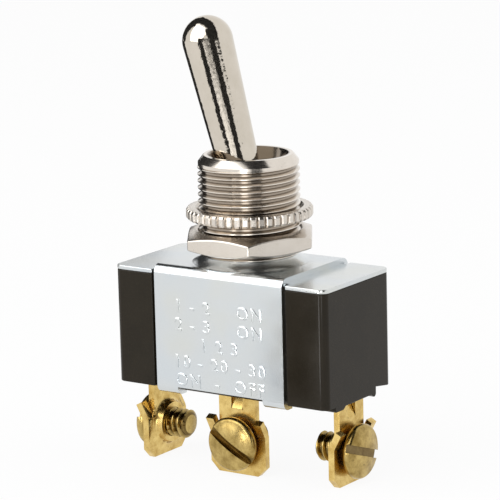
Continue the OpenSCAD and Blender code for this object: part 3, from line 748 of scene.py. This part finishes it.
shells = {
    "cover_plate": {"name": "coverPlateSheet", "finish": "zinc", "edge": 0.1, "segments": 2},
    "case": {"name": "caseMoulding", "finish": "phenolic", "edge": 0.14, "segments": 3},
}
for node, shell in shells.items():
    piece = solidCopy(shell["name"], node)
    roundEdges(piece, shell["edge"], shell["segments"])
    finishPiece(piece, "base", finishes[shell["finish"]], shell["finish"], node, flats=True)
print("Cover and case done")


# Terminals: the CAD strips, and a flare round the tapped collar's root, as drawing leaves it

terminalSize = {"plate": 0.8, "wallR": 2.1, "collarR": 2.4, "rootR": 3.2, "rise": 0.6, "steps": 6, "facets": 64}
terminalPlaces = {
    "terminal_left": {"name": "terminalLeftStrip", "face": (-13.5, 0), "facing": -90},
    "terminal_centre": {"name": "terminalCentreStrip", "face": (0, -3.6), "facing": 0},
    "terminal_right": {"name": "terminalRightStrip", "face": (13.5, 0), "facing": 90},
}


# A piece made upright goes to a terminal's face and looks outwards from it
def standOn(piece, face, facing, slotTurn=0):
    outward = Matrix.Rotation(math.radians(facing), 4, "Z") @ Matrix.Rotation(math.radians(90), 4, "X")
    turn = Matrix.Rotation(math.radians(slotTurn), 4, "Z")
    piece.matrix_world = Matrix.Translation((*face, screwZ)) @ outward @ turn
    pick(piece)
    applyPlace()


def makeTerminal(node, place, size):
    strip = solidCopy(place["name"], node)
    back = -size["plate"]
    spread = size["rootR"] - size["collarR"]
    curve = [(size["rootR"] - spread * math.sin(math.radians(a)), back - size["rise"] * (1 - math.cos(math.radians(a))))
             for a in range(90, -1, -90 // size["steps"])]
    flare = turned("flare", [(size["collarR"] - 0.05, back - size["rise"] - 0.02)] + curve
                   + [(size["rootR"], back + 0.1)], size["facets"])
    combine(flare, turned("wall", [(size["wallR"], -4), (size["wallR"], 1)], size["facets"]), "DIFFERENCE")
    standOn(flare, place["face"], place["facing"])
    pick(flare, strip)
    bpy.ops.object.join()
    finishPiece(strip, "base", finishes["stampedBrass"], "terminal_brass", node, smooth=22)


for node, place in terminalPlaces.items():
    makeTerminal(node, place, terminalSize)
print("Terminals done")


# Terminal screw: modelled once with its head towards -Y, then copied to the three terminals

screwSize = {
    "crestR": 1.74, "rootR": 1.36, "pitch": 25.4 / 32, "gap": 0.38, "length": 4.7, "tipEdge": 0.35, "tipH": 0.45,
    "headR": screwHeadR, "headH": 1.7, "flatR": 2.8, "dome": 0.4, "rimDrop": 0.94, "slotW": 0.95, "slotDepth": 1.0,
    "edge": 0.06, "facets": 48,
    # Under the head: how far in from its rim, and how far up
    "underside": [(0.45, 0), (0.4, 0.03), (0.15, 0.3), (0.03, 0.5), (0, 0.62)]}
# Screw brass: the slot floor, slot lip and thread valley amounts are strengths of painted shade
screwBrass = {"light": (0.58, 0.425, 0.155), "dark": (0.26, 0.17, 0.045), "brown": (0.08, 0.045, 0.012),
              "tarnish": 0.55, "gloss": 0.10, "bump": 0.12, "stretch": (1, 1, 1),
              "slotFloorShade": 0.7, "slotLipShade": 0.2, "threadValleyShade": 0.8}
screws = {
    "screw_left": {"name": "screwLeftBody", "on": "terminal_left", "slotTurn": 25},
    "screw_centre": {"name": "screwCentreBody", "on": "terminal_centre", "slotTurn": -31},
    "screw_right": {"name": "screwRightBody", "on": "terminal_right", "slotTurn": -19},
}


def makeScrew(size):
    # Upright first: the head looks up, and z = 0 is the terminal's outer face
    under = size["gap"]
    top = under + size["headH"]
    tip = under - size["length"]
    screw = threadedRod("screwBody", size["crestR"], size["rootR"], size["pitch"], tip, under + 0.1, size["facets"])
    outside = size["crestR"] + 0.1
    taper = turned("taper", [(size["rootR"] - size["tipEdge"], tip - 0.02), (outside, tip + size["tipH"]),
                             (outside, under + 1)], size["facets"])
    combine(screw, taper, "INTERSECT")
    underside = [(size["headR"] - inward, under + up) for inward, up in size["underside"]]
    rim = [(size["flatR"] + (size["headR"] - size["flatR"]) * math.sin(math.radians(a)),
            top - size["dome"] - (size["rimDrop"] - size["dome"]) * (1 - math.cos(math.radians(a))))
           for a in range(90, -1, -10)]
    crown = [(size["flatR"] * share, top - size["dome"] * share ** 2) for share in (0.85, 0.7, 0.55, 0.4, 0.2, 0)]
    combine(screw, turned("head", underside + rim + crown), "UNION")
    slot = boxTool((0, 0, top + 1 - size["slotDepth"]), (4 * size["headR"], size["slotW"], 2))
    combine(screw, slot, "DIFFERENCE")
    roundEdges(screw, size["edge"], angle=50, clamp=True)
    return screw


screwPattern = makeScrew(screwSize)
for node, screw in screws.items():
    copy = screwPattern.copy()
    copy.data = screwPattern.data.copy()
    copy.name = screw["name"]
    bpy.context.scene.collection.objects.link(copy)
    place = terminalPlaces[screw["on"]]
    standOn(copy, place["face"], place["facing"], screw["slotTurn"])
    # The slot's own directions, as standOn turns them
    facing, turn = math.radians(place["facing"]), math.radians(screw["slotTurn"])
    slotPlace = {
        "centre": Vector((*place["face"], screwZ)), "outward": Vector((math.sin(facing), -math.cos(facing), 0)),
        "across": Vector((-math.sin(turn) * math.cos(facing), -math.sin(turn) * math.sin(facing), math.cos(turn))),
        "width": screwSize["slotW"], "floor": screwSize["gap"] + screwSize["headH"] - screwSize["slotDepth"],
        "depth": screwSize["slotDepth"], "rootR": screwSize["rootR"], "crestR": screwSize["crestR"] - 0.04,
        "neck": 0.3, "tip": screwSize["gap"] - screwSize["length"] + 0.05}
    finishPiece(copy, node, brassFinish(screw["name"] + "Brass", screwBrass, slotPlace), "screw_brass", node)
bpy.data.objects.remove(screwPattern)
print("Screws done")


# Plunger spring: the CAD's coil, carried on the lever's body; the real one shortens towards its upper end as the
# plunger slides in, but this copy keeps its shape


def makeSpring():
    coil = solidCopy("plungerSpringCoil", "plunger_spring")
    finishPiece(coil, "lever", finishes["steel"], "steel", "plunger_spring")
    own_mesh(coil)


makeSpring()
print("Spring done")


# Inner pieces keep their CAD shape

innerFinishes = {
    "lever_pin": "steel", "plunger": "nylon", "insulator": "fibre",
    "contact_rocker": "bronze", "rocker_saddle": "bronze", "moving_contact_left": "silver",
    "moving_contact_right": "silver", "fixed_contact_left": "silver", "fixed_contact_right": "silver",
}
for node, finishName in innerFinishes.items():
    materials = frame["nodes"][node].data.materials
    materials.clear()
    materials.append(finishes[finishName])
print("Inner pieces done")


# Floor, light and camera

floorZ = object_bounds()[0][2]
white = (1, 1, 1, 1)
stage = {"floorSize": 4.0, "floorColour": (0.95, 0.95, 0.95, 1), "floorGloss": 0.9, "floorGlow": 0.92, "skyLight": 0.5}


def makeFloor(settings):
    pickNone()
    bpy.ops.mesh.primitive_plane_add(size=settings["floorSize"], location=(0, 0, floorZ))
    floor = bpy.context.object
    floor.name = "floor"
    paint = Finish("paleFloor", base_color=settings["floorColour"], roughness=settings["floorGloss"])
    glow = paint.add("ShaderNodeEmission", None, {"Color": white, "Strength": 1.0})
    share = paint.raysSeen("Is Camera Ray", "Is Glossy Ray") * settings["floorGlow"]
    paint.blend(share, paint.standing("Principled BSDF"), glow, "Material Output")
    floor.data.materials.append(paint.material)


def makeSky(settings):
    world = bpy.data.worlds.new("studio")
    bpy.context.scene.world = world
    sky = Shading(world)
    light = sky.tree.nodes["Background"]
    light.inputs["Color"].default_value = white
    light.inputs["Strength"].default_value = settings["skyLight"]
    shown = sky.add("ShaderNodeBackground", None, {"Color": white, "Strength": 1.0})
    seen = sky.raysSeen("Is Camera Ray", "Is Glossy Ray", "Is Transmission Ray")
    sky.blend(seen, sky.standing("Background"), shown, "World Output")


# Lamps and dark cards stand round the object, each by its azimuth, elevation and distance, and face it. A lamp's
# brightness is what a mirror shows of it, with 1 for white. A card's tone is its grey
lamps = {
    "softbox": {"azimuth": -22, "elevation": 36, "distance": 0.6, "size": (0.76, 0.78), "brightness": 1.8},
    "fill": {"azimuth": 115, "elevation": 30, "distance": 0.7, "size": (0.7, 0.6), "brightness": 1.0},
    "strip": {"azimuth": 24, "elevation": -4, "distance": 0.12, "size": (0.03, 0.036), "brightness": 2.0},
    "caseEdge": {"azimuth": -4, "elevation": -16, "distance": 0.047, "size": (0.008, 0.018), "brightness": 8},
    "nutEdge": {"azimuth": 34, "elevation": -9, "distance": 0.047, "size": (0.006, 0.006), "brightness": 4},
}
cards = {
    "cardOverhead": {"azimuth": -20, "elevation": 92, "distance": 0.5, "size": (0.8, 0.3), "tone": 0.02},
    "cardRight": {"azimuth": 60, "elevation": 42, "distance": 0.45, "size": (0.42, 0.42), "tone": 0.02},
    "cardLeft": {"azimuth": -106, "elevation": 25, "distance": 0.5, "size": (0.42, 0.60), "tone": 0.02},
    "cardNearLeft": {"azimuth": -1, "elevation": 13, "distance": 0.15, "size": (0.058, 0.074), "tone": 0.02},
    "cardDappled": {"azimuth": 25, "elevation": 15, "distance": 0.15, "size": (0.08, 0.065), "tone": 0.02,
                    "specks": {"stretch": (6, 40, 1), "detail": 4.0, "contrast": 6, "fade": 1.8, "range": (2.8, 3.4),
                               "glow": (0.06, 1.5)}},
    "cardNearRight": {"azimuth": 52, "elevation": 12, "distance": 0.15, "size": (0.069, 0.12), "tone": 0.03},
    "cardNearBack": {"azimuth": -114, "elevation": -2.7, "distance": 0.09, "size": (0.08, 0.045), "tone": 0.02},
    "cardCase": {"azimuth": -12.5, "elevation": -21, "distance": 0.041, "size": (0.0065, 0.015), "tone": 0.02},
}


stageCentre = Vector((0, 0, -0.005))


def around(azimuth, elevation, distance, centre=stageCentre):
    a, e = math.radians(azimuth), math.radians(elevation)
    back = Vector((math.sin(a) * math.cos(e), -math.cos(a) * math.cos(e), math.sin(e)))
    return centre + back * distance, back


def makeLamp(name, lamp):
    place, back = around(lamp["azimuth"], lamp["elevation"], lamp["distance"])
    bpy.ops.object.light_add(type="AREA", location=place)
    light = bpy.context.object
    light.name = name
    light.rotation_euler = back.to_track_quat("Z", "Y").to_euler()
    light.data.shape = "RECTANGLE"
    width, height = lamp["size"]
    light.data.size, light.data.size_y = width, height
    light.data.energy = lamp["brightness"] * math.pi * width * height
    # The fill lights without showing in the metal, and the small near lamps only show in it
    light.visible_glossy = name != "fill"
    light.visible_diffuse = name in ("softbox", "fill")


# Bright specks on a card, fewer towards its top
def dapple(paper, look):
    height = paper.add("ShaderNodeSeparateXYZ", None, {0: paper.place}, "Y")
    spread = paper.add("ShaderNodeMapping", None, {"Vector": paper.place, "Scale": look["stretch"]})
    specks = paper.add("ShaderNodeTexNoise", None, {"Vector": spread, "Scale": 1.0, "Detail": look["detail"]})
    tone = paper.span(specks * look["contrast"] - height * look["fade"], *look["range"], *look["glow"])
    paper.feed(paper.shader.inputs["Emission Color"], tone)
    paper.feed(paper.shader.inputs["Emission Strength"], 1.0)


def makeCard(name, card):
    place, back = around(card["azimuth"], card["elevation"], card["distance"])
    pickNone()
    bpy.ops.mesh.primitive_plane_add(size=1, location=place, rotation=back.to_track_quat("Z", "Y").to_euler())
    sheet = bpy.context.object
    sheet.name = name
    sheet.scale = (*card["size"], 1)
    paper = Finish(name, base_color=(*grey(card["tone"]), 1), roughness=1.0)
    if "specks" in card:
        dapple(paper, card["specks"])
    sheet.data.materials.append(paper.material)
    sheet.visible_camera = False
    sheet.visible_shadow = False
    sheet.visible_diffuse = False


view = {"azimuth": 34.461, "elevation": 12.153, "roll": -1.4256, "distance": 0.349985, "lens": 216.356,
        "aim": (-0.000566, 0.000690, -0.002935)}


def makeCamera(settings):
    place, back = around(settings["azimuth"], settings["elevation"], settings["distance"], Vector(settings["aim"]))
    a = math.radians(settings["azimuth"])
    level = Vector((math.cos(a), math.sin(a), 0))
    upright = back.cross(level)
    r = math.radians(settings["roll"])
    side = level * math.cos(r) + upright * math.sin(r)
    top = back.cross(side)
    bpy.ops.object.camera_add()
    camera = bpy.context.object
    camera.name = "photoCamera"
    turn = Matrix((side, top, back)).transposed()
    camera.matrix_world = Matrix.Translation(place) @ turn.to_4x4()
    camera.data.sensor_width = 36
    camera.data.lens = settings["lens"]
    camera.data.clip_start = 0.01
    camera.data.clip_end = 20
    bpy.context.scene.camera = camera


makeFloor(stage)
makeSky(stage)
for name, lamp in lamps.items():
    makeLamp(name, lamp)
for name, card in cards.items():
    makeCard(name, card)
makeCamera(view)
bpy.context.scene.view_settings.view_transform = "Standard"
print("Stage done")
